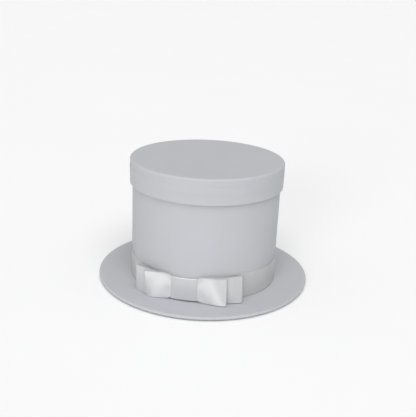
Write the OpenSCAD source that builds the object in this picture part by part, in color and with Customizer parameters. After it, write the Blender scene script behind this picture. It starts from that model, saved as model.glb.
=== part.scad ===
// Gift box in the shape of a top hat: a board crown on a brim whose edge curls up
// a little, a lid that lifts off, and a satin hat band with a flat two-tier bow.
// Boards are covered and lined with paper that is turned over their edges.
// Millimetres. +Z is up and the bow faces -Y.
// The origin is the centre of the brim's underside.

/* [Crown] */
// Outside diameter of the covered crown
crown_d = 145; // [120:1:180]
// Height of the whole box, from the underside of the brim to the top of the lid
total_h = 122; // [90:1:170]
// Thickness of the crown, floor and lid boards
board_t = 1.8; // [1.4:0.1:2.4]
// Thickness of the covering and lining papers
paper_t = 0.2; // [0.15:0.05:0.3]
// Depth of the covering paper that is turned over an edge
turn_in = 14; // [10:1:18]
// Height of bare turned-in paper above the crown's lining
lining_drop = 5; // [3:1:8]

/* [Brim] */
// Diameter of the brim
brim_d = 210; // [200:1:260]
// Thickness of the brim board
brim_board_t = 2.5; // [1.5:0.1:4]
// Width of the turned-in paper that shows round the underside paper
underside_inset = 3; // [2:0.5:6]
// Radius of the brim's flat middle
flat_r = 78; // [76:1:90]
// Height by which the brim's edge curls up from its flat middle
brim_curl = 1.3; // [0:0.1:3]

/* [Lid] */
// Height of the lid, outside
lid_h = 24.5; // [20:0.5:32]
// Radial gap between the lid's lined rim and the covered crown
lid_gap = 0.3; // [0.2:0.05:0.6]
// Gap between the crown's rim and the lid's lining when the lid is on
rest_gap = 0.1; // [0.05:0.05:0.2]
// Height of the lid's top paper above the strip that covers its rim
lid_shoulder = 7.5; // [4:0.5:10]

/* [Ribbon] */
// Width of the ribbon
ribbon_w = 25; // [20:0.5:30]
// Thickness of the ribbon
ribbon_t = 0.3; // [0.25:0.05:0.4]
// Height of the band's lower edge above the brim
band_lift = 0.2; // [0.1:0.1:1]
// Length of the overlap where the band's two ends meet behind the bow
band_lap = 12; // [8:1:16]

/* [Bow] */
// Height of the loops' lower edges above the brim
bow_lift = 0.5; // [0.4:0.1:1.5]
// Height of the wrap's lower side above the brim
wrap_lift = 2.4; // [0.2:0.1:4]
// Width of the wrap round the middle of the bow
wrap_w = 24; // [20:0.5:26]
// Height of the gathered middle of the bow, over the wrap
wrap_h = 21.2; // [19:0.2:24]
// Angle round the crown from the bow's middle to the end of a long loop
long_angle = 39.5; // [38:0.5:44]
// Distance that the end of a long loop stands off the crown
long_stand_off = 7.2; // [6:0.1:9]
// Angle round the crown from the bow's middle to the end of a short loop
short_angle = 28; // [27:0.5:31]
// Distance that the end of a short loop stands off the crown
short_stand_off = 9.6; // [9:0.1:12]

/* [Hidden] */
$fn = 96;

// Crown radii, from the outside in
crown_r = crown_d / 2;
tube_ro = crown_r - paper_t;
tube_ri = tube_ro - board_t;
lining_ri = tube_ri - paper_t;

// Brim levels, from the underside up
brim_r = brim_d / 2;
brim_board_r = brim_r - paper_t;
brim_board_z = paper_t;
brim_cover_z = brim_board_z + brim_board_t;
deck_z = brim_cover_z + paper_t;
underside_r = brim_r - underside_inset;
brim_turn_r = brim_r - turn_in;

// Lid levels, from the top down
lid_cover_z = total_h - paper_t;
lid_board_z = lid_cover_z - board_t;
lid_lining_z = lid_board_z - paper_t;
lid_z = total_h - lid_h;
strip_z = total_h - lid_shoulder;
turn_down_z = total_h - turn_in;

// Lid radii, from the inside out
lid_ri = crown_r + lid_gap;
rim_board_ri = lid_ri + paper_t;
rim_board_ro = rim_board_ri + board_t;
lid_cover_r = rim_board_ro + paper_t;
strip_r = lid_cover_r + paper_t;

// Crown levels
rim_z = lid_lining_z - rest_gap;
tube_top_z = rim_z - paper_t;
floor_z = deck_z + board_t;
fit_gap = 0.05;

// Ribbon levels, and the stack of layers under the wrap
band_z = deck_z + band_lift;
loop_z = deck_z + bow_lift;
wrap_z = deck_z + wrap_lift;
band_r = crown_r + ribbon_t;
band_lap_r = band_r + ribbon_t;
wrap_back_r = band_lap_r + fit_gap;
wrap_a = asin(wrap_w / 2 / crown_r);
layer_pitch = ribbon_t + 0.2;
first_layer_r = wrap_back_r + 1.5 * ribbon_t + fit_gap;
wrap_front_r = first_layer_r + 3 * layer_pitch + ribbon_t / 2 + fit_gap;
wrap_ro = wrap_front_r + ribbon_t;
glue_a = 2.4;

// A tier's loops: [end angle, middle radius at the wrap, middle radius at the end,
// half gap at the wrap, half gap at the end, bulge, power of the spread]
pinch_half = layer_pitch / 2;
long_tier = [long_angle, first_layer_r + pinch_half, crown_r + long_stand_off,
    pinch_half, 1.6, 0.5, 1.6];
short_tier = [short_angle, first_layer_r + 2.5 * layer_pitch, crown_r + short_stand_off,
    pinch_half, 1.3, 0.5, 1];
side_steps = 30;
fold_steps = 8;

paper_white = [0.78, 0.78, 0.8];
board_grey = [0.55, 0.52, 0.48];
satin_white = [0.88, 0.88, 0.9];
glue_clear = [0.9, 0.88, 0.8];

// A flat ring, or a disc where the inner radius is 0
module ring(inner_r, outer_r, low_z, high_z) {
    rotate_extrude() translate([inner_r, low_z]) square([outer_r - inner_r, high_z - low_z]);
}

// A part of a ring, centred on the bow
module arc(inner_r, outer_r, low_z, high_z, from_a, to_a) {
    rotate([0, 0, from_a - 90]) rotate_extrude(angle = to_a - from_a)
        translate([inner_r, low_z]) square([outer_r - inner_r, high_z - low_z]);
}

// Point of the brim's section at radius r, raised with the brim where it curls up
function curled(r, z) = [r, z + brim_curl * max(0, r - flat_r) / (brim_r - flat_r)];

// Point at radius r, at angle a round the crown from the bow's middle
function around(r, a) = [r * sin(a), -r * cos(a)];

// How far angle a lies from the wrap, 0, to the end of the tier, 1
function spread(tier, a) = max(0, (abs(a) - wrap_a) / (tier[0] - wrap_a));

// Radius half way between a loop's two layers
function middle_r(tier, a) = tier[1] + (tier[2] - tier[1]) * pow(spread(tier, a), tier[6]);

// Half the distance between a loop's two layers
function half_gap(tier, a) = let (t = spread(tier, a))
    tier[3] + (tier[4] - tier[3]) * t + tier[5] * sin(180 * t);

// One layer of a tier, side 1 for the outer and -1 for the inner, thickened by grow
function layer(tier, side, grow) = [
    for (i = [0 : side_steps]) let (a = side * tier[0] * (1 - 2 * i / side_steps))
        around(middle_r(tier, a) + side * (half_gap(tier, a) + grow), a)
];

// The rounded fold that closes a loop at one end, side 1 or -1
function fold(tier, side, grow) = [
    for (i = [1 : fold_steps - 1]) let (
        a = side * tier[0],
        turn = 180 * i / fold_steps,
        r = tier[4] + grow,
        along = side * r * sin(turn)
    ) around(tier[2] - side * r * cos(turn), a) + along * [cos(a), sin(a)]
];

// Plan outline of a tier: outer layer, fold, inner layer, fold
function tier_outline(tier, grow) = concat(
    layer(tier, 1, grow),
    fold(tier, -1, grow),
    layer(tier, -1, grow),
    fold(tier, 1, grow)
);

// A tier of two loops from one closed turn of ribbon, gathered where the wrap goes
module tier_of_loops(tier) {
    gathered_low_z = wrap_z + ribbon_t + fit_gap;
    gathered_high_z = wrap_z + wrap_h - ribbon_t - fit_gap;
    gathered_w = wrap_w + 1;
    difference() {
        translate([0, 0, loop_z]) linear_extrude(ribbon_w) difference() {
            polygon(tier_outline(tier, ribbon_t / 2));
            polygon(tier_outline(tier, -ribbon_t / 2));
        }
        for (low_z = [gathered_low_z - ribbon_w, gathered_high_z])
            translate([-gathered_w / 2, -wrap_ro, low_z])
                cube([gathered_w, wrap_ro - crown_r / 2, ribbon_w]);
    }
}

module crown_tube() {
    color(board_grey) ring(tube_ri, tube_ro, deck_z, tube_top_z);
}

module crown_cover() {
    color(paper_white) rotate_extrude() polygon([
        [tube_ro, deck_z], [crown_r, deck_z], [crown_r, rim_z], [lining_ri, rim_z],
        [lining_ri, rim_z - turn_in], [tube_ri, rim_z - turn_in], [tube_ri, tube_top_z],
        [tube_ro, tube_top_z]
    ]);
}

module crown_lining() {
    step_z = rim_z - turn_in;
    color(paper_white) rotate_extrude() polygon([
        [lining_ri, floor_z], [tube_ri, floor_z], [tube_ri, step_z], [lining_ri, step_z],
        [lining_ri, rim_z - lining_drop], [lining_ri - paper_t, rim_z - lining_drop],
        [lining_ri - paper_t, step_z - paper_t], [lining_ri, step_z - paper_t]
    ]);
}

module crown_floor() {
    color(board_grey) ring(0, tube_ri - fit_gap, deck_z, floor_z);
}

module floor_paper() {
    color(paper_white) ring(0, lining_ri - fit_gap, floor_z, floor_z + paper_t);
}

module brim_board() {
    color(board_grey) rotate_extrude() polygon([
        [0, brim_board_z], curled(flat_r, brim_board_z), curled(brim_board_r, brim_board_z),
        curled(brim_board_r, brim_cover_z), curled(flat_r, brim_cover_z), [0, brim_cover_z]
    ]);
}

module brim_cover() {
    color(paper_white) rotate_extrude() polygon([
        [0, brim_cover_z], curled(flat_r, brim_cover_z), curled(brim_board_r, brim_cover_z),
        curled(brim_board_r, brim_board_z), curled(brim_turn_r, brim_board_z),
        curled(brim_turn_r, 0), curled(brim_r, 0), curled(brim_r, deck_z),
        curled(flat_r, deck_z), [0, deck_z]
    ]);
}

module brim_underside() {
    step_r = brim_turn_r - fit_gap;
    color(paper_white) rotate_extrude() polygon([
        [0, 0], curled(flat_r, 0), curled(step_r, 0), curled(step_r, -paper_t),
        curled(underside_r, -paper_t), curled(underside_r, 0), curled(brim_turn_r, 0),
        curled(step_r, paper_t), curled(flat_r, paper_t), [0, paper_t]
    ]);
}

module lid_top_board() {
    color(board_grey) ring(0, rim_board_ro, lid_board_z, lid_cover_z);
}

module lid_rim_board() {
    color(board_grey) ring(rim_board_ri, rim_board_ro, lid_z + paper_t, lid_board_z);
}

module lid_top_cover() {
    color(paper_white) rotate_extrude() polygon([
        [0, lid_cover_z], [rim_board_ro, lid_cover_z], [rim_board_ro, turn_down_z],
        [lid_cover_r, turn_down_z], [lid_cover_r, total_h], [0, total_h]
    ]);
}

module lid_rim_cover() {
    step_z = turn_down_z - paper_t;
    color(paper_white) rotate_extrude() polygon([
        [lid_ri, lid_z], [lid_cover_r, lid_z], [lid_cover_r, step_z], [strip_r, step_z],
        [strip_r, strip_z], [lid_cover_r, strip_z], [lid_cover_r, turn_down_z],
        [rim_board_ro, turn_down_z], [rim_board_ro, lid_z + paper_t],
        [rim_board_ri, lid_z + paper_t], [rim_board_ri, lid_board_z], [lid_ri, lid_board_z]
    ]);
}

module lid_lining() {
    color(paper_white) ring(0, lid_ri - fit_gap, lid_lining_z, lid_board_z);
}

module hat_band() {
    half_lap_a = asin(band_lap / 2 / crown_r);
    high_z = band_z + ribbon_w;
    color(satin_white) union() {
        ring(crown_r, band_r, band_z, high_z);
        arc(band_r, band_lap_r, band_z, high_z, -half_lap_a, half_lap_a);
    }
}

module bow_long_loops() {
    color(satin_white) tier_of_loops(long_tier);
}

module bow_short_loops() {
    color(satin_white) tier_of_loops(short_tier);
}

module bow_wrap() {
    high_z = wrap_z + wrap_h;
    color(satin_white) difference() {
        arc(wrap_back_r, wrap_ro, wrap_z, high_z, -wrap_a, wrap_a);
        arc(wrap_back_r + ribbon_t, wrap_front_r, wrap_z + ribbon_t, high_z - ribbon_t,
            -wrap_a - 1, wrap_a + 1);
    }
}

module bow_glue() {
    mid_z = wrap_z + wrap_h / 2;
    color(glue_clear) for (side = [-1, 1])
        arc(band_r, wrap_back_r, mid_z - 7, mid_z + 7,
            side * (wrap_a - glue_a) - glue_a / 2, side * (wrap_a - glue_a) + glue_a / 2);
}

crown_tube();
crown_cover();
crown_lining();
crown_floor();
floor_paper();
brim_board();
brim_cover();
brim_underside();
lid_top_board();
lid_rim_board();
lid_top_cover();
lid_rim_cover();
lid_lining();
hat_band();
bow_long_loops();
bow_short_loops();
bow_wrap();
bow_glue();
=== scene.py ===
"""Looks of a gift box in the shape of a top hat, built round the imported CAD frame.

Lengths are in metres in the row frame: +Z is up and the bow faces -Y.
"""
import math

import bmesh
import bpy
import numpy as np
from mathutils import Matrix, Vector


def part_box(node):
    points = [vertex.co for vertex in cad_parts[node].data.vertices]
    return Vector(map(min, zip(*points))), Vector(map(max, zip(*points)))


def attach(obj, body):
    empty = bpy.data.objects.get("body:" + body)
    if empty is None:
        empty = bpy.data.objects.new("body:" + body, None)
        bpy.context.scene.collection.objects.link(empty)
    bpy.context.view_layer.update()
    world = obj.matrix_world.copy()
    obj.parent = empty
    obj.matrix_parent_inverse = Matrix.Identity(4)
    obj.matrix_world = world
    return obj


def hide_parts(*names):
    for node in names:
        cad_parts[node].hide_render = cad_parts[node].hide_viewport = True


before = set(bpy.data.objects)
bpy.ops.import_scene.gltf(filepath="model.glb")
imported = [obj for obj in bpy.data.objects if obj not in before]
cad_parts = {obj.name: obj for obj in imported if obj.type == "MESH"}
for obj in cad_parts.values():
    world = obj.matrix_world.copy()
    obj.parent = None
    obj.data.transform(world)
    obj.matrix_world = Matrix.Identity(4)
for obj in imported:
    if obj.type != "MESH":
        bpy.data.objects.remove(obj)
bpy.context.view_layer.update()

MM = 0.001


# ---------------------------------------------------------------- measures


def node_points(node):
    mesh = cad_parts[node].data
    points = np.empty(len(mesh.vertices) * 3)
    mesh.vertices.foreach_get("co", points)
    return points.reshape(-1, 3)


def outer_radius(node):
    points = node_points(node)
    return float(np.hypot(points[:, 0], points[:, 1]).max())


def inner_radius(node):
    points = node_points(node)
    return float(np.hypot(points[:, 0], points[:, 1]).min())


def resting_radius(node):
    """How far out a node lies on the ground before it curls up."""
    points = node_points(node)
    resting = points[points[:, 2] < 0.01 * MM]
    return float(np.hypot(resting[:, 0], resting[:, 1]).max())


def low(node):
    return float(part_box(node)[0][2])


def high(node):
    return float(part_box(node)[1][2])


PAPER = high("floor_paper") - low("floor_paper")
CROWN_R = outer_radius("crown_cover")
TUBE_RO = outer_radius("crown_tube")
TUBE_RI = inner_radius("crown_tube")
LINING_RI = inner_radius("crown_cover")
FLOOR_R = outer_radius("floor_paper")
DECK_Z = low("crown_cover")
RIM_Z = high("crown_cover")
LINING_TOP_Z = high("crown_lining")
FLOOR_Z = high("crown_floor")
TUBE_TOP_Z = high("crown_tube")

BRIM_R = outer_radius("brim_cover")
BRIM_BOARD_R = outer_radius("brim_board")
BRIM_BOARD_Z = low("brim_board")
BRIM_COVER_Z = DECK_Z - PAPER
BRIM_CURL = high("brim_cover") - DECK_Z
UNDERSIDE_R = outer_radius("brim_underside")
FLAT_R = resting_radius("brim_underside")

TOTAL_Z = high("lid_top_cover")
LID_COVER_R = outer_radius("lid_top_cover")
LID_BOARD_R = outer_radius("lid_top_board")
LID_COVER_Z = high("lid_top_board")
LID_BOARD_Z = low("lid_top_board")
TURN_DOWN_Z = low("lid_top_cover")
# Paper turned over an edge is as deep inside the crown and under the brim as on the lid
TURN_IN = TOTAL_Z - TURN_DOWN_Z
STRIP_R = outer_radius("lid_rim_cover")
LID_RI = inner_radius("lid_rim_cover")
RIM_BOARD_RI = inner_radius("lid_rim_board")
LID_Z = low("lid_rim_cover")
LID_LINING_R = outer_radius("lid_lining")
# The upper edge of the strip round the lid's rim is this far under the top
LID_SHOULDER = 7.5 * MM
STRIP_Z = TOTAL_Z - LID_SHOULDER

RIBBON_T = 0.3 * MM
RIBBON_W = high("hat_band") - low("hat_band")


# ---------------------------------------------------------------- mesh code

# Evenly spaced columns round a solid of revolution
COLUMNS_ROUND = 180
# Distance over which the wear of an edge fades out
WEAR_REACH = 0.7 * MM
# Greatest change of phase with height of a wave, in radians per metre
STEEPEST = 60


def new_piece(name, points, faces, body, material, nodes, layers, sharp):
    """A mesh object that rides on a body and stands for CAD nodes."""
    mesh = bpy.data.meshes.new(name)
    mesh.from_pydata([tuple(p) for p in points], [], faces)
    for layer, values in layers.items():
        kind = "FLOAT" if values.ndim == 1 else "FLOAT_VECTOR"
        field = "value" if values.ndim == 1 else "vector"
        attribute = mesh.attributes.new(layer, kind, "POINT")
        attribute.data.foreach_set(field, np.ascontiguousarray(values, dtype=np.float32).ravel())
    mesh.validate()
    mesh.shade_smooth()
    mesh.set_sharp_from_angle(angle=math.radians(sharp))
    mesh.materials.append(material)
    piece = bpy.data.objects.new(name, mesh)
    bpy.context.scene.collection.objects.link(piece)
    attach(piece, body)
    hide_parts(*nodes)
    point_outward(mesh)
    return piece


def point_outward(mesh):
    """Turns every face's normal out of the closed mesh."""
    work = bmesh.new()
    work.from_mesh(mesh)
    bmesh.ops.recalc_face_normals(work, faces=work.faces)
    work.to_mesh(mesh)
    work.free()


def fillet(corner, before, after, radius, steps=5):
    """Points of the arc that rounds a profile's corner."""
    to_before = (before - corner) / np.linalg.norm(before - corner)
    to_after = (after - corner) / np.linalg.norm(after - corner)
    half = math.acos(max(-1.0, min(1.0, float(to_before @ to_after)))) / 2
    reach = radius / math.tan(half)
    bisector = to_before + to_after
    centre = corner + bisector / np.linalg.norm(bisector) * radius / math.sin(half)
    start = corner + to_before * reach - centre
    end = corner + to_after * reach - centre
    turn = math.atan2(start[0] * end[1] - start[1] * end[0], float(start @ end))
    arc = []
    for i in range(steps + 1):
        c, s = math.cos(turn * i / steps), math.sin(turn * i / steps)
        arc.append(centre + np.array([c * start[0] - s * start[1], s * start[0] + c * start[1]]))
    return arc


def profile(corners, closed=True, longest=4 * MM, hold=0.5 * MM):
    """Resampled section from corners (r, z, fillet radius, wear), and the wear at each point.

    A point is added close to each corner, so smooth shading stays flat on flat faces.
    """
    n = len(corners)
    at = [np.array(c[:2], dtype=float) for c in corners]
    outline = []
    for i, corner in enumerate(corners):
        rounded = corner[2] > 0 and (closed or 0 < i < n - 1)
        outline += fillet(at[i], at[i - 1], at[(i + 1) % n], corner[2]) if rounded else [at[i]]
    section = []
    count = len(outline) if closed else len(outline) - 1
    for i in range(count):
        start, end = outline[i], outline[(i + 1) % len(outline)]
        length = float(np.linalg.norm(end - start))
        section.append(start)
        if length > 3 * hold:
            steps = max(1, math.ceil((length - 2 * hold) / longest))
            for t in np.linspace(hold / length, 1 - hold / length, steps + 1):
                section.append(start + (end - start) * t)
    if not closed:
        section.append(outline[-1])
    section = np.array(section)
    worn = np.zeros(len(section))
    for i, corner in enumerate(corners):
        if corner[3] > 0:
            gap = np.linalg.norm(section - at[i], axis=1)
            worn = np.maximum(worn, corner[3] * np.exp(-np.maximum(gap - corner[2], 0) / WEAR_REACH))
    return section, worn


def turned(name, corners, body, material, nodes, closed=True, warp=None, extra=()):
    """A solid of revolution. A section that isn't closed starts and ends on the axis.

    warp takes arrays r, angle and z and returns the offsets in r and z. extra holds
    angles in degrees that get a column of their own. Angle 0 is the front and 90 is +X.
    """
    section, worn = profile(corners, closed)
    even = np.arange(COLUMNS_ROUND) * 360.0 / COLUMNS_ROUND
    angles = np.array(sorted(set(even) | set(angle % 360 for angle in extra)))
    a = np.radians(angles)[:, None]
    r = np.broadcast_to(section[:, 0], (len(angles), len(section))).copy()
    z = np.broadcast_to(section[:, 1], r.shape).copy()
    if warp:
        dr, dz = warp(r, np.broadcast_to(a, r.shape), z)
        on_axis = r < 1e-9
        r = np.where(on_axis, r, r + dr)
        z = z + dz
    points = np.stack([r * np.sin(a), -r * np.cos(a), z], axis=-1)
    rows, cols = r.shape
    first, last = (0, cols) if closed else (1, cols - 1)
    faces = []
    width = last - first
    for i in range(rows):
        j = (i + 1) % rows
        for k in range(width if closed else width - 1):
            m = (k + 1) % width
            faces.append((i * width + k, i * width + m, j * width + m, j * width + k))
    flat = points[:, first:last].reshape(-1, 3)
    wear = np.tile(worn[first:last], rows)
    if not closed:
        top, bottom = len(flat), len(flat) + 1
        flat = np.vstack([flat, points[:, 0].mean(axis=0), points[:, -1].mean(axis=0)])
        wear = np.append(wear, [0.0, 0.0])
        for i in range(rows):
            j = (i + 1) % rows
            faces.append((top, i * width, j * width))
            faces.append((bottom, j * width + width - 1, i * width + width - 1))
    return new_piece(name, flat, faces, body, material, nodes, {"wear": wear}, sharp=40)


def strip(name, surface, across, thickness, body, material, nodes, closed=False):
    """A ribbon with thickness, from points (n, m, 3) on its middle surface.

    n runs along the ribbon and m across it. across holds the m distances from its
    middle line, and thickness the thickness at each. A closed strip's ends join.
    """
    n, m = surface.shape[:2]
    along = np.gradient(surface, axis=0)
    if closed:
        along = (np.roll(surface, -1, axis=0) - np.roll(surface, 1, axis=0)) / 2
    sideways = np.gradient(surface, axis=1)
    normal = np.cross(along, sideways)
    normal /= np.linalg.norm(normal, axis=2, keepdims=True)
    half = thickness[None, :, None] / 2 * normal
    points = np.concatenate([side.reshape(-1, 3) for side in (surface + half, surface - half)])

    u = across[None, :] * np.ones((n, 1))
    steps = np.linalg.norm(np.diff(surface[:, m // 2], axis=0), axis=1)
    v = np.concatenate([[0], np.cumsum(steps)])[:, None] * np.ones((1, m))
    place = np.stack([u, v, np.zeros_like(u)], axis=-1).reshape(-1, 3)
    width_way = (sideways / np.linalg.norm(sideways, axis=2, keepdims=True)).reshape(-1, 3)

    faces = []
    size = n * m
    rows = n if closed else n - 1
    for i in range(rows):
        j = (i + 1) % n
        for k in range(m - 1):
            front = (i * m + k, i * m + k + 1, j * m + k + 1, j * m + k)
            faces.append(front)
            faces.append((size + front[0], size + front[3], size + front[2], size + front[1]))
        for k in (0, m - 1):
            faces.append((i * m + k, j * m + k, size + j * m + k, size + i * m + k))
    if not closed:
        for i in (0, n - 1):
            for k in range(m - 1):
                faces.append((i * m + k, i * m + k + 1, size + i * m + k + 1, size + i * m + k))
    layers = {
        "place": np.concatenate([place, place]),
        "width_way": np.concatenate([width_way, width_way]),
    }
    return new_piece(name, points, faces, body, material, nodes, layers, sharp=70)


def waves(seed, terms, lengths):
    """Seeded unevenness of paper or ribbon: a sum of sines of (angle, height), about -1 to 1.

    lengths are the fewest and most waves in a turn.
    """
    draw = np.random.default_rng(seed)
    counts = draw.integers(lengths[0], lengths[1] + 1, terms)
    slopes = draw.uniform(-STEEPEST, STEEPEST, terms)
    phases = draw.uniform(0, 2 * math.pi, terms)

    def wave(a, z):
        total = sum(np.sin(c * a + s * z + p) for c, s, p in zip(counts, slopes, phases))
        return total / math.sqrt(terms)

    return wave


def between(value, start, end):
    """0 where value is at start or before it, 1 at end or past it, and even between them."""
    return np.clip((value - start) / (end - start), 0, 1)


def smooth_step(t):
    """Takes a share from 0 to 1 smoothly."""
    t = np.clip(t, 0, 1)
    return t * t * (3 - 2 * t)


# ---------------------------------------------------------------- materials

# The woven selvedge starts this far in from the ribbon's edge, and is full this far in
SELVEDGE_START, SELVEDGE_FULL = 0.9 * MM, 0.7 * MM
# Distance between the selvedge's ribs
RIB_PITCH = 0.34 * MM


class Nodes:
    """A short way to write a node material."""

    def __init__(self, name, **values):
        self.material = bpy.data.materials.new(name)
        self.material.use_nodes = True
        self.tree = self.material.node_tree
        self.shader = self.tree.nodes["Principled BSDF"]
        for socket, value in values.items():
            self.shader.inputs[socket.replace("_", " ")].default_value = value

    def add(self, kind, inputs=None, **settings):
        node = self.tree.nodes.new("ShaderNode" + kind)
        for key, value in settings.items():
            setattr(node, key, value)
        for key, value in (inputs or {}).items():
            if isinstance(value, bpy.types.NodeSocket):
                self.tree.links.new(value, node.inputs[key])
            else:
                node.inputs[key].default_value = value
        return node

    def where(self):
        """Coordinates in the object, in metres."""
        return self.add("TexCoord").outputs["Object"]

    def layer(self, name, output):
        """A value stored on the mesh."""
        return self.add("Attribute", attribute_name=name).outputs[output]

    def math(self, operation, a, b=0.0):
        return self.add("Math", {0: a, 1: b}, operation=operation).outputs[0]

    def blend(self, a, b, of_a, of_b):
        """of_a parts of a and of_b parts of b."""
        return self.math("ADD", self.math("MULTIPLY", a, of_a), self.math("MULTIPLY", b, of_b))

    def noise(self, vector, scale, detail=3.0, roughness=0.55):
        inputs = {"Vector": vector, "Scale": scale, "Detail": detail, "Roughness": roughness}
        return self.add("TexNoise", inputs).outputs["Fac"]

    def ramp(self, value, low_in, high_in, low_out=0.0, high_out=1.0):
        inputs = {"Value": value, 1: low_in, 2: high_in, 3: low_out, 4: high_out}
        return self.add("MapRange", inputs).outputs[0]

    def stretch(self, vector, scale):
        return self.add("Mapping", {"Vector": vector, "Scale": scale}).outputs[0]

    def mix(self, factor, a, b):
        return self.add("Mix", {0: factor, 6: a, 7: b}, data_type="RGBA").outputs[2]

    def bump(self, height, distance, strength, under=None):
        """Relief from a height, added to the relief under it."""
        inputs = {"Height": height, "Distance": distance, "Strength": strength}
        if under:
            inputs["Normal"] = under
        return self.add("Bump", inputs).outputs[0]

    def set(self, **links):
        for socket, value in links.items():
            self.tree.links.new(value, self.shader.inputs[socket.replace("_", " ")])


def grey(level, blue=0.0):
    """A linear colour near grey, bluer as blue goes up."""
    return (level * (1 - 0.2 * blue), level, level * (1 + blue), 1.0)


def paper_material(name, level, blue, grain, matt=0.62):
    """Covering paper: felt-marked fibres, faint mottling, and paler rubbed folds."""
    m = Nodes(name, Roughness=matt, Specular_IOR_Level=0.35)
    at = m.where()
    mottle = m.noise(at, scale=45.0, detail=4.0)
    cloud = m.noise(at, scale=9.0, detail=2.0)
    fibre = m.noise(m.stretch(at, (1.0, 1.0, 0.35)), scale=grain, detail=5.0, roughness=0.7)
    flecks = m.noise(at, scale=grain * 1.9, detail=2.0, roughness=0.5)

    tone = m.ramp(m.blend(mottle, cloud, of_a=0.5, of_b=0.5), 0.35, 0.65)
    base = m.mix(tone, grey(level * 0.985, blue), grey(level * 1.015, blue))
    base = m.mix(m.ramp(flecks, 0.66, 0.78, high_out=0.5), base, grey(level * 0.9, blue))
    broken = m.ramp(m.noise(at, scale=420.0), 0.42, 0.6, low_out=0.15, high_out=0.8)
    rubbed = m.math("MULTIPLY", m.layer("wear", "Fac"), broken)
    base = m.mix(rubbed, base, grey(min(1.0, level * 1.06), blue))

    rough = m.ramp(m.blend(fibre, rubbed, of_a=0.6, of_b=0.6), 0.2, 0.8, matt - 0.06, matt + 0.1)
    relief = m.bump(fibre, distance=0.05 * MM, strength=0.55)
    relief = m.bump(mottle, distance=0.12 * MM, strength=0.3, under=relief)
    m.set(Base_Color=base, Roughness=rough, Normal=relief)
    return m.material


def board_material(name):
    """Grey board: pressed waste-paper fibre with dark specks."""
    dark, pale, speck = (0.2, 0.185, 0.165, 1), (0.34, 0.32, 0.29, 1), (0.08, 0.08, 0.09, 1)
    m = Nodes(name, Roughness=0.85, Specular_IOR_Level=0.25)
    at = m.where()
    fibre = m.noise(m.stretch(at, (1.0, 1.0, 0.3)), scale=1400.0, detail=5.0, roughness=0.7)
    specks = m.noise(at, scale=2600.0, detail=2.0, roughness=0.5)
    base = m.mix(m.ramp(fibre, 0.3, 0.7), dark, pale)
    base = m.mix(m.ramp(specks, 0.68, 0.76, high_out=0.8), base, speck)
    rough = m.ramp(fibre, 0.2, 0.8, low_out=0.75, high_out=0.95)
    m.set(Base_Color=base, Roughness=rough, Normal=m.bump(fibre, distance=0.1 * MM, strength=0.6))
    return m.material


def satin_material(name, level, blue=0.03):
    """Satin ribbon: long warp floats with fine streaks, a woven selvedge and a soft sheen."""
    m = Nodes(name, Roughness=0.4, Specular_IOR_Level=1.0, IOR=2.0, Anisotropic=0.85, Subsurface_Weight=1.0,
              Subsurface_Radius=(1.0, 1.0, 1.0), Subsurface_Scale=0.4 * MM)
    place = m.layer("place", "Vector")
    across, along = m.add("SeparateXYZ", {"Vector": place}).outputs[:2]
    streaks = m.noise(m.stretch(place, (1.0, 0.03, 1.0)), scale=2600.0, roughness=0.65)
    picks = m.noise(m.stretch(place, (0.08, 1.0, 1.0)), scale=3400.0, detail=2.0, roughness=0.6)
    drift = m.noise(m.stretch(place, (1.0, 0.25, 1.0)), scale=190.0, detail=2.0)
    ribs = m.math("SINE", m.math("MULTIPLY", along, 2 * math.pi / RIB_PITCH))
    edge = m.math("ABSOLUTE", across)
    selvedge = m.ramp(edge, RIBBON_W / 2 - SELVEDGE_START, RIBBON_W / 2 - SELVEDGE_FULL)

    base = m.mix(m.ramp(streaks, 0.3, 0.7), grey(level * 0.95, blue), grey(level * 1.05, blue))
    base = m.mix(m.ramp(drift, 0.3, 0.7, high_out=0.35), base, grey(level * 0.93, blue))
    base = m.mix(m.math("MULTIPLY", selvedge, 0.6), base, grey(level * 0.9, blue))
    streaked = m.ramp(streaks, 0.25, 0.75, low_out=0.3, high_out=0.4)
    rough = m.math("ADD", streaked, m.math("MULTIPLY", selvedge, 0.16))
    relief = m.bump(m.blend(streaks, picks, of_a=0.7, of_b=0.3), distance=0.03 * MM, strength=0.5)
    relief = m.bump(m.math("MULTIPLY", ribs, selvedge), distance=0.03 * MM, strength=0.7, under=relief)
    m.set(Base_Color=base, Roughness=rough, Normal=relief, Tangent=m.layer("width_way", "Vector"))
    return m.material


def glue_material(name):
    """Hot-melt glue: milky, slightly yellow and glossy."""
    thick, thin = (0.62, 0.6, 0.5, 1), (0.72, 0.71, 0.64, 1)
    m = Nodes(name, Roughness=0.25, Specular_IOR_Level=0.5, Subsurface_Weight=0.4,
              Subsurface_Radius=(2 * MM, 2 * MM, 1 * MM), Subsurface_Scale=0.5)
    milk = m.noise(m.where(), scale=500.0)
    base = m.mix(m.ramp(milk, 0.35, 0.65), thick, thin)
    rough = m.ramp(milk, 0.2, 0.8, low_out=0.2, high_out=0.36)
    m.set(Base_Color=base, Roughness=rough, Normal=m.bump(milk, distance=0.2 * MM, strength=0.5))
    return m.material


COVER = paper_material("covering_paper", level=0.5, blue=0.05, grain=1500.0)
LINING = paper_material("lining_paper", level=0.54, blue=0.02, grain=1100.0, matt=0.7)
UNDERSIDE = paper_material("underside_paper", level=0.52, blue=0.03, grain=1100.0, matt=0.72)
BOARD = board_material("grey_board")
SATIN = satin_material("satin_ribbon", level=0.575)
# Painted shade: the band is the same ribbon as the bow, but its satin is a darker, warmer copy that stands
# in for the shade and warm light on the box's right side
SHADED_BAND_SATIN = satin_material("satin_band_painted_shade", level=0.525, blue=0.01)
GLUE = glue_material("hot_melt_glue")

# These nodes keep their CAD shape
for plain_node, plain_material in (("crown_floor", BOARD), ("bow_glue", GLUE)):
    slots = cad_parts[plain_node].data.materials
    slots.clear()
    slots.append(plain_material)


# ---------------------------------------------------------------- camera

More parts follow.
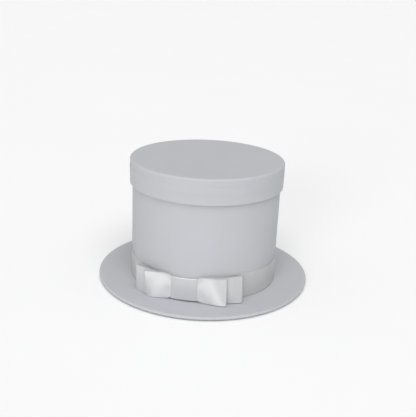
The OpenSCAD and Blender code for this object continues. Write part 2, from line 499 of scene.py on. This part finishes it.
# Angles in radians. The azimuth is from the front, the distance is from the crown's axis,
# and the height is above the brim's edge.
CAMERA_AZIMUTH = math.radians(12.9)
CAMERA_DISTANCE = 0.6289
CAMERA_HEIGHT = 0.2844
CAMERA_PITCH = 0.3354
CAMERA_YAW = 0.0039
CAMERA_ROLL = 0.0445
CAMERA_LENS = 57.66


def add_camera():
    data = bpy.data.cameras.new("camera")
    data.sensor_width = 36.0
    data.lens = CAMERA_LENS
    data.clip_start = 0.01
    data.clip_end = 100.0
    camera = bpy.data.objects.new("camera", data)
    bpy.context.scene.collection.objects.link(camera)
    forward = Vector((
        math.sin(CAMERA_YAW) * math.cos(CAMERA_PITCH),
        math.cos(CAMERA_YAW) * math.cos(CAMERA_PITCH),
        -math.sin(CAMERA_PITCH),
    ))
    right = forward.cross(Vector((0, 0, 1))).normalized()
    upward = right.cross(forward)
    tilted_right = right * math.cos(CAMERA_ROLL) + upward * math.sin(CAMERA_ROLL)
    tilted_up = upward * math.cos(CAMERA_ROLL) - right * math.sin(CAMERA_ROLL)
    axes = Matrix((tilted_right, tilted_up, -forward)).transposed().to_4x4()
    standing = Matrix.Translation((0, -CAMERA_DISTANCE, high("brim_cover") + CAMERA_HEIGHT))
    camera.matrix_world = Matrix.Rotation(CAMERA_AZIMUTH, 4, "Z") @ standing @ axes
    bpy.context.scene.camera = camera


add_camera()


# ---------------------------------------------------------------- papers and boards

# Rounding of the paper's folds, outside and against the board: the rims, the brim and the lid's top
RIM_ROUND, RIM_ROUND_IN = 0.7 * MM, 0.5 * MM
BRIM_ROUND, BRIM_ROUND_IN = 0.8 * MM, 0.6 * MM
LID_ROUND, LID_ROUND_IN = 1.8 * MM, 1.6 * MM

ripple_tube = waves(seed=11, terms=6, lengths=(2, 7))
ripple_lid = waves(seed=12, terms=6, lengths=(2, 8))
ripple_brim = waves(seed=13, terms=5, lengths=(2, 5))
ripple_cut = waves(seed=14, terms=8, lengths=(5, 40))

# The papers round the crown and the lid's rim lap at the back
SEAM = 180.0
SEAM_W = 8 * MM
SEAM_EDGE = 0.1 * MM
SEAM_RISE = 0.8 * PAPER


def lap_seam(radius):
    """Offset of a paper's outer face where its end laps over its start, and the columns it needs."""
    wide = math.degrees(SEAM_W / radius)
    edge = math.degrees(SEAM_EDGE / radius)
    columns = [SEAM - edge, SEAM, SEAM + edge, SEAM + wide * 0.5, SEAM + wide, SEAM + wide * 1.5]

    def lap(a):
        past = (np.degrees(a) - SEAM) % 360.0
        on = (past < wide * 1.5) & (past > edge * 0.5)
        return np.where(on, SEAM_RISE * smooth_step((wide * 1.5 - past) / (wide * 0.5)), 0.0)

    return lap, columns


crown_lap, crown_columns = lap_seam(CROWN_R)
TUBE_WAVE = 0.07 * MM
# Distances under the rim at which the unevenness starts and is full
WAVE_START, WAVE_FULL = 20 * MM, 50 * MM


def warp_crown(r, a, z):
    """The cover follows the tube's slight unevenness and has a lap seam at the back."""
    below_lid = between(z, RIM_Z - WAVE_START, RIM_Z - WAVE_FULL)
    lap = np.where(r > CROWN_R - 0.5 * PAPER, crown_lap(a), 0.0)
    return TUBE_WAVE * ripple_tube(a, z * 0.6) * below_lid + lap, np.zeros_like(z)


turned("crown_tube_board", [
    (TUBE_RI, DECK_Z, 0, 0), (TUBE_RO, DECK_Z, 0, 0),
    (TUBE_RO, TUBE_TOP_Z, RIM_ROUND_IN, 0), (TUBE_RI, TUBE_TOP_Z, RIM_ROUND_IN, 0),
], "box", BOARD, ["crown_tube"])

TURN_IN_Z = RIM_Z - TURN_IN
turned("crown_cover_paper", [
    (TUBE_RO, DECK_Z, 0, 0), (CROWN_R, DECK_Z, 0, 0.3),
    (CROWN_R, RIM_Z, RIM_ROUND, 1), (LINING_RI, RIM_Z, RIM_ROUND, 1),
    (LINING_RI, TURN_IN_Z, 0, 0), (TUBE_RI, TURN_IN_Z, 0, 0),
    (TUBE_RI, TUBE_TOP_Z, RIM_ROUND_IN, 0), (TUBE_RO, TUBE_TOP_Z, RIM_ROUND_IN, 0),
], "box", COVER, ["crown_cover"], warp=warp_crown, extra=crown_columns)

# Unevenness of a cut edge, and how far from the edge it reaches
LINING_CUT, LINING_CUT_REACH = 0.22 * MM, 2 * MM


def warp_lining(r, a, z):
    """The lining's upper edge is cut by hand, so it isn't quite straight."""
    near_edge = between(z, LINING_TOP_Z - LINING_CUT_REACH, LINING_TOP_Z)
    return np.zeros_like(r), LINING_CUT * near_edge * ripple_cut(a, 0 * z)


# The lining steps in over the edge of the paper that is turned in
turned("crown_lining_paper", [
    (LINING_RI, FLOOR_Z, 0, 0), (TUBE_RI, FLOOR_Z, 0, 0),
    (TUBE_RI, TURN_IN_Z - 0.3 * MM, 0, 0), (LINING_RI, TURN_IN_Z + 0.3 * MM, 0, 0),
    (LINING_RI, LINING_TOP_Z, 0, 0.6), (LINING_RI - PAPER, LINING_TOP_Z, 0, 0.6),
    (LINING_RI - PAPER, TURN_IN_Z - 0.2 * MM, 0.5 * MM, 0), (LINING_RI, TURN_IN_Z - 1.8 * MM, 0.5 * MM, 0),
], "box", LINING, ["crown_lining"], warp=warp_lining)

COCKLE, COCKLE_REACH = 0.12 * MM, 12 * MM


def warp_floor(r, a, z):
    """Paper that has cockled a little as its glue dried."""
    inside = between(r, LINING_RI, LINING_RI - COCKLE_REACH)
    cockle = COCKLE * inside * (1 + ripple_tube(a, r * 6)) * r / LINING_RI
    return np.zeros_like(r), np.where(z > FLOOR_Z + 0.5 * PAPER, cockle, 0.0)


turned("floor_lining_paper", [
    (0, FLOOR_Z + PAPER, 0, 0), (FLOOR_R, FLOOR_Z + PAPER, 0, 0.4),
    (FLOOR_R, FLOOR_Z, 0, 0), (0, FLOOR_Z, 0, 0),
], "box", LINING, ["floor_paper"], closed=False, warp=warp_floor)

CURL_POWER = 1.2


def curl(r):
    """Height by which the brim rises towards its edge."""
    return BRIM_CURL * between(r, FLAT_R, BRIM_R) ** CURL_POWER


def warp_curl(r, a, z):
    return np.zeros_like(r), curl(r)


turned("brim_core_board", [
    (0, BRIM_COVER_Z, 0, 0), (BRIM_BOARD_R, BRIM_COVER_Z, BRIM_ROUND_IN, 0),
    (BRIM_BOARD_R, BRIM_BOARD_Z, BRIM_ROUND_IN, 0), (0, BRIM_BOARD_Z, 0, 0),
], "box", BOARD, ["brim_board"], closed=False, warp=warp_curl)

BRIM_TURN_R = BRIM_R - TURN_IN
BRIM_WAVE = 0.05 * MM
BRIM_PLEATS, BRIM_PLEAT_DEPTH, BRIM_PLEAT_POWER = 52, 0.09 * MM, 8


def warp_brim(r, a, z):
    """The top is very slightly uneven, and the turned-under edge is pleated."""
    top = z > BRIM_COVER_Z - 0.3 * MM
    uneven = BRIM_WAVE * between(r, CROWN_R, BRIM_R) * ripple_brim(a, r * 4)
    under = (z < BRIM_BOARD_Z - 0.5 * PAPER) & (r > BRIM_TURN_R)
    pleats = BRIM_PLEAT_DEPTH * np.abs(np.sin(a * BRIM_PLEATS / 2)) ** BRIM_PLEAT_POWER
    return np.zeros_like(r), np.where(top, uneven, 0.0) + np.where(under, pleats, 0.0) + curl(r)


turned("brim_cover_paper", [
    (0, DECK_Z, 0, 0), (BRIM_R, DECK_Z, BRIM_ROUND, 1), (BRIM_R, 0, BRIM_ROUND, 1),
    (BRIM_TURN_R, 0, 0, 0), (BRIM_TURN_R, BRIM_BOARD_Z, 0, 0),
    (BRIM_BOARD_R, BRIM_BOARD_Z, BRIM_ROUND_IN, 0), (BRIM_BOARD_R, BRIM_COVER_Z, BRIM_ROUND_IN, 0),
    (0, BRIM_COVER_Z, 0, 0),
], "box", COVER, ["brim_cover"], closed=False, warp=warp_brim)

# The underside paper steps down over the edge of the paper that is turned under
turned("brim_underside_paper", [
    (0, PAPER, 0, 0), (BRIM_TURN_R - 1.5 * MM, PAPER, 0.5 * MM, 0), (BRIM_TURN_R, 0, 0, 0),
    (UNDERSIDE_R, 0, 0, 0.5), (UNDERSIDE_R, -PAPER, 0, 0.5), (BRIM_TURN_R - 0.5 * MM, -PAPER, 0.8 * MM, 0),
    (BRIM_TURN_R - 2.5 * MM, 0, 0.8 * MM, 0), (0, 0, 0, 0),
], "box", UNDERSIDE, ["brim_underside"], closed=False, warp=warp_curl)

turned("lid_top_core_board", [
    (0, LID_COVER_Z, 0, 0), (LID_BOARD_R, LID_COVER_Z, LID_ROUND_IN, 0),
    (LID_BOARD_R, LID_BOARD_Z, 0, 0), (0, LID_BOARD_Z, 0, 0),
], "lid", BOARD, ["lid_top_board"], closed=False)

turned("lid_rim_core_board", [
    (RIM_BOARD_RI, LID_Z + PAPER, RIM_ROUND_IN, 0), (LID_BOARD_R, LID_Z + PAPER, RIM_ROUND_IN, 0),
    (LID_BOARD_R, LID_BOARD_Z, 0, 0), (RIM_BOARD_RI, LID_BOARD_Z, 0, 0),
], "lid", BOARD, ["lid_rim_board"])

LID_WAVE = 0.1 * MM
LID_PLEATS, LID_PLEAT_DEPTH, LID_PLEAT_POWER = 70, 0.06 * MM, 6


def warp_lid_top(r, a, z):
    """The top is a hair uneven between its edge and middle, and its turned-down edge is pleated."""
    top = z > LID_COVER_Z - 0.3 * MM
    inside = between(r, LID_BOARD_R - 1 * MM, LID_BOARD_R - 9 * MM)
    uneven = LID_WAVE * ripple_lid(a, r * 9) * (r / LID_COVER_R) * inside
    side = (z < LID_COVER_Z - 1.0 * MM) & (r > LID_BOARD_R + 0.5 * PAPER)
    pleats = LID_PLEAT_DEPTH * np.abs(np.sin(a * LID_PLEATS / 2)) ** LID_PLEAT_POWER
    pleats = pleats * between(z, LID_COVER_Z, LID_COVER_Z - 6 * MM)
    return np.where(side, -pleats, 0.0), np.where(top, uneven, 0.0)


turned("lid_top_paper", [
    (0, TOTAL_Z, 0, 0), (LID_COVER_R, TOTAL_Z, LID_ROUND, 0.3), (LID_COVER_R, TURN_DOWN_Z, 0, 0),
    (LID_BOARD_R, TURN_DOWN_Z, 0, 0), (LID_BOARD_R, LID_COVER_Z, LID_ROUND_IN, 0), (0, LID_COVER_Z, 0, 0),
], "lid", COVER, ["lid_top_cover"], closed=False, warp=warp_lid_top)

rim_lap, rim_columns = lap_seam(STRIP_R)
STRIP_CUT, STRIP_CUT_REACH = 0.15 * MM, 1.5 * MM


def warp_rim(r, a, z):
    """The strip's upper edge isn't quite straight, and it has a lap seam at the back."""
    outer = (r > LID_BOARD_R + 0.5 * PAPER) & (z > LID_Z + 0.5 * MM)
    near_edge = between(z, STRIP_Z - STRIP_CUT_REACH, STRIP_Z) * (r > LID_COVER_R - 0.1 * PAPER)
    return np.where(outer, rim_lap(a), 0.0), STRIP_CUT * near_edge * ripple_lid(a, 0 * z)


# The strip bulges where it passes over the edge of the paper that is turned down
turned("lid_rim_paper", [
    (LID_RI, LID_Z, RIM_ROUND, 1), (LID_COVER_R, LID_Z, RIM_ROUND, 1),
    (LID_COVER_R, TURN_DOWN_Z - 2.2 * MM, 2 * MM, 0), (STRIP_R, TURN_DOWN_Z + 0.8 * MM, 2 * MM, 0),
    (STRIP_R, STRIP_Z, 0.08 * MM, 0.7), (LID_COVER_R, STRIP_Z, 0, 0.5),
    (LID_COVER_R, TURN_DOWN_Z, 0, 0), (LID_BOARD_R, TURN_DOWN_Z, 0, 0),
    (LID_BOARD_R, LID_Z + PAPER, RIM_ROUND_IN, 0), (RIM_BOARD_RI, LID_Z + PAPER, RIM_ROUND_IN, 0),
    (RIM_BOARD_RI, LID_BOARD_Z, 0, 0), (LID_RI, LID_BOARD_Z, 0, 0),
], "lid", COVER, ["lid_rim_cover"], warp=warp_rim, extra=rim_columns)

turned("lid_lining_paper", [
    (0, LID_BOARD_Z, 0, 0), (LID_LINING_R, LID_BOARD_Z, 0, 0),
    (LID_LINING_R, LID_BOARD_Z - PAPER, 0, 0.4), (0, LID_BOARD_Z - PAPER, 0, 0),
], "lid", LINING, ["lid_lining"], closed=False)


# ---------------------------------------------------------------- ribbon

# Columns across the ribbon, as shares of its width, close together at the selvedges
HALF_COLUMNS = np.array([0.11, 0.22, 0.32, 0.4, 0.45, 0.472, 0.488, 0.496, 0.5])
COLUMNS = np.concatenate([-HALF_COLUMNS[::-1], [0.0], HALF_COLUMNS])
ACROSS = COLUMNS * RIBBON_W
SHARE = COLUMNS[None, :]
# The edge is rounded over this distance, and the ribbon is fullest this far in
EDGE_ROUND, FULLEST = 0.12 * MM, 0.35 * MM


def ribbon_thickness():
    """Thickness at each column: rounded at the edge, and fullest along the selvedge."""
    inward = RIBBON_W / 2 - np.abs(ACROSS)
    rounding = np.sqrt(np.clip(1 - (1 - between(inward, 0, EDGE_ROUND)) ** 2, 0.12, 1))
    return RIBBON_T * rounding * (0.8 + 0.2 * np.exp(-((inward - FULLEST) / FULLEST) ** 2))


THICKNESS = ribbon_thickness()


def around(r, a, z):
    """Points from arrays of radius, angle and height."""
    return np.stack([r * np.sin(a), -r * np.cos(a), z], axis=-1)


def ribbon(name, surface, material, node, closed=False):
    """A ribbon of the box body that stands for one CAD node."""
    return strip(name, surface, ACROSS, THICKNESS, "box", material, [node], closed)


# Hat band: one turn pulled snug, its ends lapped behind the bow. Angles are in degrees.
LAP = 12 * MM
BAND_Z = low("hat_band")
BAND_ROWS = 300
SNUG_GAP = 0.02 * MM
# Its edges stand off a little
EDGE_FLARE = 0.1 * MM
# The outer end steps up over the inner one
LAP_STEP_FROM, LAP_STEP_OVER = 340, 12
# It rides up beside the bow's right end
BAND_RISE, BAND_RISE_AT, BAND_RISE_SPREAD = 1.6 * MM, 44, 15
BAND_WAVE = 0.1 * MM
# Share of its width that the ribbon keeps when it is pulled
PULLED = 0.985


def band_surface():
    half_lap = math.degrees(LAP / 2 / CROWN_R)
    turns = np.radians(np.linspace(-half_lap, 360 + half_lap, BAND_ROWS))[:, None]
    over = smooth_step((turns - math.radians(LAP_STEP_FROM)) / math.radians(LAP_STEP_OVER))
    ripple = waves(seed=21, terms=5, lengths=(3, 9))
    gap = 0.5 * RIBBON_T + SNUG_GAP + over * (RIBBON_T + SNUG_GAP)
    gap = gap + EDGE_FLARE * (1 + ripple(turns, 0)) * (2 * SHARE) ** 4
    off_rise = (turns - math.radians(BAND_RISE_AT)) / math.radians(BAND_RISE_SPREAD)
    rise = BAND_RISE * np.exp(-off_rise ** 2) + BAND_WAVE * (1 + ripple(turns, 0.01))
    height = BAND_Z + PULLED * RIBBON_W * (SHARE + 0.5) + rise
    return around(CROWN_R + gap, turns + 0 * SHARE, height)


# The band wears the darker, warmer satin copy, which is painted shade
band = ribbon("ribbon_band", band_surface(), SHADED_BAND_SATIN, "hat_band")


# Bow: two closed tiers of ribbon, pinched by a wrap. They lie flat out to this angle, under the wrap.
WRAP_A = math.radians(9.53)
# Distance between layers of ribbon that lie on each other
PITCH = RIBBON_T + 0.2 * MM
# Middle of the first layer over the band's lap
FIRST_R = CROWN_R + 3.5 * RIBBON_T + 0.1 * MM
# Each tier's ends meet at the bow's middle, this angle from it
END_GAP_A = 0.35 * MM / CROWN_R
LOOP_Z = low("bow_long_loops")
WRAP_LOW, WRAP_HIGH = low("bow_wrap"), high("bow_wrap")
GATHERED_Z = (WRAP_LOW + WRAP_HIGH) / 2
GATHERED_W = WRAP_HIGH - WRAP_LOW - 2 * RIBBON_T - 0.2 * MM
# Angle over which the gathers fade beside the wrap
GATHERED_A = math.radians(1.4)
# Rows of points along each layer of a loop, and round the fold at its end with the layers' last rows
LAYER_ROWS, FOLD_ROWS = 64, 17
# How fast a loop's layers part away from the wrap, and how much more they part half way along
OPEN_POWER, OPEN_BULGE = 0.8, 0.2 * MM
# How late a loop's lean comes on, and how late it fades
LEAN_POWER, FADE_POWER = 1.6, 3
# Share of a loop's depth that is pressed out at its upper edge
PINCH = 0.65
# Each layer puffs out by this, half way along and half way up
PILLOW, PILLOW_POWER = 0.35 * MM, 0.7
# Pleats beside the wrap: depth, number across the ribbon, phase, and their place and spread along the loop
PLEAT_DEPTH, PLEAT_COUNT, PLEAT_PHASE, PLEAT_AT, PLEAT_SPREAD = 0.15 * MM, 2.2, 0.7, 0.1, 0.1
# Share by which the fold at a loop's end gets slimmer towards the top
END_TAPER = 0.3


class Loop:
    """One side's loop: its end angle in degrees, and how far its middle line stands off there.

    Lengths are in millimetres. half is half of its depth at the end, and power and ease shape how
    it spreads. Its top leans in and its bottom out by lean, which eases off by fade towards the
    end. lift raises the end, and tuck pulls the end's lower corner in towards the wrap.
    """

    def __init__(self, end, stand_off, half, power, ease, lean, fade, lift, tuck):
        self.end = math.radians(end)
        self.stand_off, self.half, self.power, self.ease = stand_off * MM, half * MM, power, ease
        self.lean, self.fade, self.lift, self.tuck = lean * MM, fade, lift * MM, tuck * MM


class Tier:
    """A turn of ribbon that makes one loop on each side of the wrap."""

    def __init__(self, at_wrap, left, right):
        self.at_wrap, self.left, self.right = at_wrap, left, right

    def pick(self, a, field):
        """A loop's value, as a column, at each angle: the right loop's where the angle is over 0."""
        return np.where(a > 0, getattr(self.right, field), getattr(self.left, field))

    def centreline(self):
        """Angles, layer (1 outer, -1 inner) and reach past the end, each as a column.

        They run from the middle of the inner layer round the right loop and then the left one,
        and back.
        """
        t = np.linspace(0, 1, LAYER_ROWS)
        fold = np.linspace(0, math.pi, FOLD_ROWS)[1:-1]
        halves = []
        for loop, side in ((self.right, 1), (self.left, -1)):
            out = side * (END_GAP_A + (loop.end - END_GAP_A) * t)
            halves.append([
                np.concatenate([out, side * loop.end + 0 * fold, out[::-1]]),
                np.concatenate([-1 + 0 * t, -np.cos(fold), 1 + 0 * t]),
                side * np.concatenate([0 * t, np.sin(fold), 0 * t]),
            ])
        return [np.concatenate([right, left[::-1]])[:, None] for right, left in zip(*halves)]

    def surface(self):
        """Middle surface of the ribbon."""
        a, layer, reach = self.centreline()
        t = np.clip((np.abs(a) - WRAP_A) / (self.pick(a, "end") - WRAP_A), 0, 1)
        half = self.pick(a, "half")
        bulge = np.sin(math.pi * t)
        opening = (half - PITCH / 2) * t ** OPEN_POWER + OPEN_BULGE * bulge
        spread = t ** self.pick(a, "power") * (1 + self.pick(a, "ease") * (1 - t))
        lean = self.pick(a, "lean") * t ** LEAN_POWER * (1 - self.pick(a, "fade") * t ** FADE_POWER)
        pleats = PLEAT_DEPTH * np.exp(-((t - PLEAT_AT) / PLEAT_SPREAD) ** 2)

        r = self.at_wrap + (CROWN_R + self.pick(a, "stand_off") - self.at_wrap) * spread
        r = r + layer * (PITCH / 2 + opening * (1 - PINCH * (SHARE + 0.5) ** 2)) - lean * 2 * SHARE
        slope = (r[:, -1:] - r[:, :1]) / RIBBON_W
        r = r + PILLOW * bulge ** PILLOW_POWER * layer * (1 - (2 * SHARE) ** 2)
        r = r + pleats * np.sin(2 * math.pi * PLEAT_COUNT * SHARE + PLEAT_PHASE)

        gathered = np.exp(-np.clip(np.abs(a) - WRAP_A, 0, None) / GATHERED_A)
        middle_z = LOOP_Z + RIBBON_W / 2
        width = RIBBON_W * np.sqrt(1 - slope ** 2) * (1 - (1 - GATHERED_W / RIBBON_W) * gathered)
        z = middle_z + self.pick(a, "lift") * t + (GATHERED_Z - middle_z) * gathered + width * SHARE

        tuck = self.pick(a, "tuck") * t ** 2 * np.where(a > 0, -1, 1)
        aside = reach * half * (1 - END_TAPER * (SHARE + 0.5)) + tuck * (0.5 - SHARE)
        along = np.stack([np.cos(a), np.sin(a), 0 * a], axis=-1)
        return around(r, a + 0 * SHARE, z) + along * aside[..., None]


long_tier = Tier(
    FIRST_R + PITCH / 2,
    Loop(end=38.4, stand_off=7.5, half=1.6, power=1.2, ease=0.0, lean=1.6, fade=0.9, lift=-0.4, tuck=2.4),
    Loop(end=41.3, stand_off=5.2, half=1.6, power=1.3, ease=0.0, lean=2.2, fade=0.0, lift=0.0, tuck=2.0))
short_tier = Tier(
    FIRST_R + 2.5 * PITCH,
    Loop(end=27.6, stand_off=9.6, half=1.5, power=1.45, ease=0.2, lean=2.4, fade=1.3, lift=-0.4, tuck=2.6),
    Loop(end=28.9, stand_off=8.5, half=1.3, power=1.9, ease=1.0, lean=2.8, fade=0.0, lift=-0.1, tuck=1.6))

for tier, node in ((long_tier, "bow_long_loops"), (short_tier, "bow_short_loops")):
    loops_surface = tier.surface()
    loops = ribbon(node + "_ribbon", loops_surface, SATIN, node)

WRAP_BEND = 0.6 * MM
# The wrap's lower side hangs below the gathered loops
WRAP_HANG = 1.1 * MM
# The wrap's right side is a little higher than its left
WRAP_TILT = 0.03


def wrap_surface():
    """The wrap runs up the front, over the loops, down behind them and under."""
    front = outer_radius("bow_wrap") - 0.5 * RIBBON_T
    back = inner_radius("bow_wrap") + 0.5 * RIBBON_T
    bottom, top = WRAP_LOW - WRAP_HANG, WRAP_HIGH - 0.5 * RIBBON_T
    corners = [(back, (bottom + top) / 2, 0, 0)]
    corners += [(*at, WRAP_BEND, 0) for at in ((back, bottom), (front, bottom), (front, top), (back, top))]
    path = profile(corners, closed=True, longest=1.5 * MM)[0]
    r, z = path[:, :1], path[:, 1:]
    a = ACROSS[None, :] / front
    return around(r + 0 * a, a + 0 * r, z + WRAP_TILT * front * a)


wrap_points = wrap_surface()
wrap = ribbon("bow_wrap_ribbon", wrap_points, SATIN, "bow_wrap", closed=True)


# ---------------------------------------------------------------- stage and light

FLOOR_HALF = 30.0
FLOOR_DROP = 0.05 * MM


def floor_material():
    """Pale studio floor with a faint, broad unevenness."""
    m = Nodes("floor", Roughness=0.8, Specular_IOR_Level=0.1)
    shade = m.noise(m.add("TexCoord").outputs["Object"], 3.0, 2.0)
    m.set(Base_Color=m.mix(shade, grey(0.93), grey(0.95)))
    return m.material


def lay_floor():
    mesh = bpy.data.meshes.new("floor")
    corners = [(x * FLOOR_HALF, y * FLOOR_HALF, 0) for x, y in ((-1, -1), (1, -1), (1, 1), (-1, 1))]
    mesh.from_pydata(corners, [], [(0, 1, 2, 3)])
    mesh.materials.append(floor_material())
    floor = bpy.data.objects.new("floor", mesh)
    floor.location.z = -FLOOR_DROP
    bpy.context.scene.collection.objects.link(floor)


def light_world():
    """A room that is dim at eye level and bright overhead, with a pale strip along the skyline."""
    world = bpy.data.worlds.new("studio")
    bpy.context.scene.world = world
    world.use_nodes = True
    nodes, links = world.node_tree.nodes, world.node_tree.links
    parts = nodes.new("ShaderNodeSeparateXYZ")
    links.new(nodes.new("ShaderNodeTexCoord").outputs["Generated"], parts.inputs[0])
    brighter = nodes.new("ShaderNodeMath")
    brighter.operation = "MAXIMUM"
    # Interpolation, sine of the elevation from and to, and brightness at each
    curves = (("LINEAR", 0.0, 1.0, 0.06, 0.86), ("SMOOTHSTEP", 0.045, 0.1, 0.85, 0.0))
    for i, (kind, from_up, to_up, from_light, to_light) in enumerate(curves):
        curve = nodes.new("ShaderNodeMapRange")
        curve.interpolation_type = kind
        for socket, value in (("From Min", from_up), ("From Max", to_up),
                              ("To Min", from_light), ("To Max", to_light)):
            curve.inputs[socket].default_value = value
        links.new(parts.outputs["Z"], curve.inputs["Value"])
        links.new(curve.outputs["Result"], brighter.inputs[i])
    links.new(brighter.outputs[0], nodes["Background"].inputs["Color"])
    nodes["Background"].inputs["Strength"].default_value = 1.0


def soft_sun(name, azimuth, elevation, strength, angle):
    """A broad, far light. Azimuth 0 is the bow's side and 90 is +X."""
    data = bpy.data.lights.new(name, "SUN")
    data.energy = strength
    data.angle = math.radians(angle)
    light = bpy.data.objects.new(name, data)
    a, e = math.radians(azimuth), math.radians(elevation)
    out = Vector((math.sin(a) * math.cos(e), -math.cos(a) * math.cos(e), math.sin(e)))
    light.location = out
    light.rotation_mode = "QUATERNION"
    light.rotation_quaternion = out.to_track_quat("Z", "Y")
    bpy.context.scene.collection.objects.link(light)


lay_floor()
light_world()
soft_sun("front", azimuth=-10, elevation=15, strength=0.83, angle=23)
soft_sun("overhead", azimuth=22, elevation=58, strength=1.3, angle=45)

bpy.context.scene.view_settings.view_transform = "Standard"
bpy.context.scene.view_settings.look = "None"
